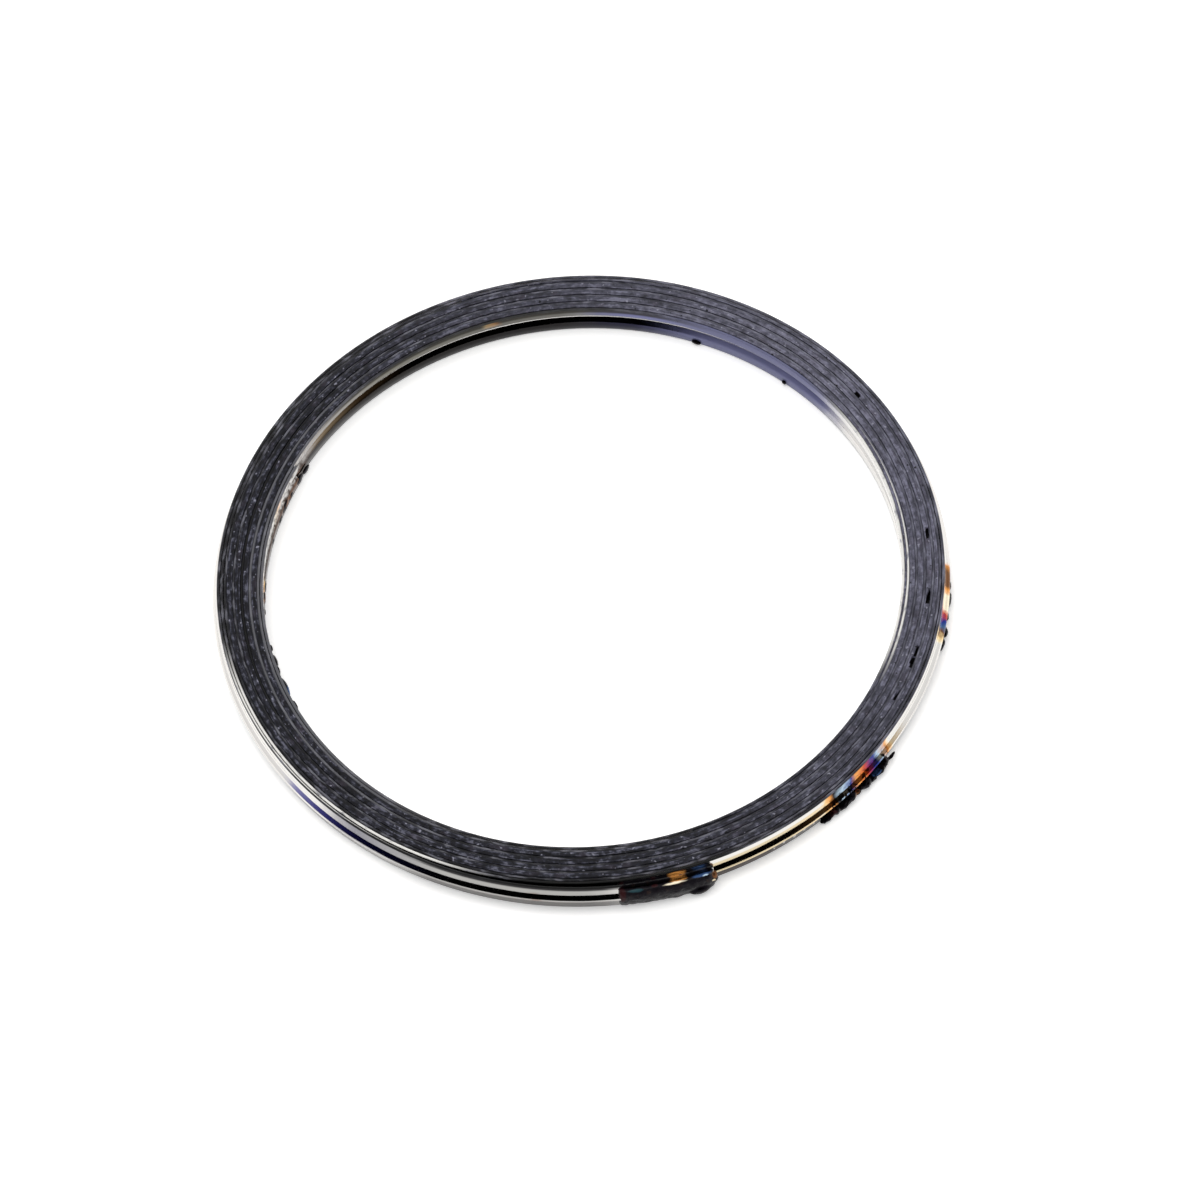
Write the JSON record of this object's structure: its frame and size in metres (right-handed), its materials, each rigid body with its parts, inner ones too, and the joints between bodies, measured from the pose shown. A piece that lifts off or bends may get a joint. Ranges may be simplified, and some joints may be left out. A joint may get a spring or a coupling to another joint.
{
  "type": "spiral-wound exhaust gasket",
  "caption": "Flat spiral-wound exhaust gasket: ridged steel hoop strip wound with graphite filler, bare plies and spot welds at both ends.",
  "frame": {"origin": "on the bore's axis at the lower sealing face", "axes": "+Z along the bore's axis, up from the lower sealing face; the strip's outer end stops at 286 degrees counter-clockwise from +X"},
  "size_m": [0.0521, 0.0525, 0.0025],
  "materials": {
    "steel": "bright rolled strip with straw, brown and blue heat tint at the spot welds",
    "graphite": "matt charcoal flexible graphite with a slight sheen"
  },
  "bodies": {
    "root": {"hoop_strip": "steel", "graphite_filler": "graphite"}
  },
  "joints": []
}
